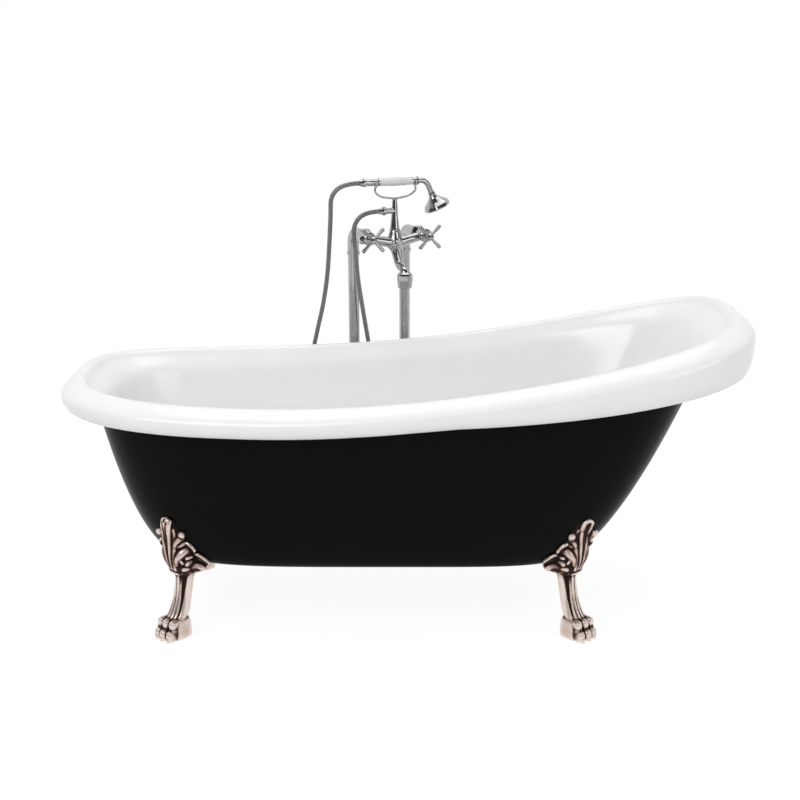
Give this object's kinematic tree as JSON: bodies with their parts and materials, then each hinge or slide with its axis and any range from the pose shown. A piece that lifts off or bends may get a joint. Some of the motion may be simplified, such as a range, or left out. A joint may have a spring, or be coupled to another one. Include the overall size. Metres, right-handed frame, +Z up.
{
  "type": "clawfoot bathtub",
  "caption": "Free-standing slipper bath with a rolled rim on clawed feet, with a click waste, and a floor-standing filler with cross handles and a hand shower on a cradle.",
  "frame": {"origin": "on the floor, under the middle of the bath and filler's outline", "axes": "+Z up, +X along the bath to its raised head end, +Y to the back where the filler stands"},
  "size_m": [1.7, 0.861, 1.0775],
  "materials": {
    "white_gloss": "gloss",
    "black_gloss": "satin gloss",
    "plywood": "bare",
    "antique_bronze": "antique, dark in the recesses",
    "steel": "zinc plated",
    "brass": "machined",
    "rubber": "matte",
    "chrome": "polished",
    "grey_plastic": "matte",
    "ceramic": "glazed",
    "hose_metal": "interlocked strip"
  },
  "bodies": {
    "bath_and_filler": {"inner_shell": "white_gloss", "outer_skin": "black_gloss", "base_board": "plywood", "foot_front_left": "antique_bronze", "foot_front_right": "antique_bronze", "foot_back_left": "antique_bronze", "foot_back_right": "antique_bronze", "foot_bolts": "steel", "foot_washers": "steel", "board_inserts": "brass", "foot_glides": "rubber", "waste_flange": "chrome", "waste_seal": "rubber", "waste_lower_seal": "rubber", "waste_tee": "grey_plastic", "waste_backnut": "brass", "plug_cartridge": "brass", "overflow_box": "grey_plastic", "overflow_hose": "grey_plastic", "overflow_back_seal": "rubber", "overflow_front_seal": "rubber", "overflow_cover": "chrome", "standpipe_left": "chrome", "standpipe_right": "chrome", "floor_flange_left": "chrome", "floor_flange_right": "chrome", "elbow_left": "chrome", "elbow_right": "chrome", "coupling_rings": "chrome", "union_nuts": "chrome", "mixer_body": "chrome", "valve_cartridge_left": "brass", "valve_cartridge_right": "brass", "valve_bonnet_left": "chrome", "valve_bonnet_right": "chrome", "spout": "chrome", "spout_nozzle": "chrome", "aerator": "grey_plastic", "riser_post": "chrome", "post_hose_nut": "chrome", "cradle": "chrome", "shower_hose": "hose_metal"},
    "plug": {"plug_cap": "chrome", "plug_seal": "rubber", "plug_stem": "brass"},
    "handle_left": {"valve_spindle_left": "brass", "cross_handle_left": "chrome", "index_cap_left": "chrome"},
    "handle_right": {"valve_spindle_right": "brass", "cross_handle_right": "chrome", "index_cap_right": "chrome"},
    "diverter": {"diverter_knob": "chrome"},
    "handset": {"handset_grip": "ceramic", "handset_tail_collar": "chrome", "handset_neck": "chrome", "handset_bell": "chrome", "spray_plate": "chrome", "handset_hose_nut": "chrome"}
  },
  "joints": [
    {"name": "plug_lift", "type": "slide", "parent": "bath_and_filler", "child": "plug", "axis": [0, 0, 1], "range_m": [0, 0.008]},
    {"name": "handle_left_turn", "type": "hinge", "parent": "bath_and_filler", "child": "handle_left", "pos_m": [-0.08417, 0.18391, 0.922], "axis": [0.3746, -0.9272, 0], "range_deg": [0, 90]},
    {"name": "handle_right_turn", "type": "hinge", "parent": "bath_and_filler", "child": "handle_right", "pos_m": [0.06604, 0.24459, 0.922], "axis": [0.3746, -0.9272, 0], "range_deg": [-90, 0]},
    {"name": "diverter_turn", "type": "hinge", "parent": "bath_and_filler", "child": "diverter", "pos_m": [-0.01768, 0.23557, 0.91], "axis": [0.3746, -0.9272, 0], "range_deg": [0, 90]},
    {"name": "handset_lift", "type": "slide", "parent": "bath_and_filler", "child": "handset", "axis": [0, 0, 1], "range_m": [0, 0.1], "deforming": ["shower_hose"]}
  ]
}
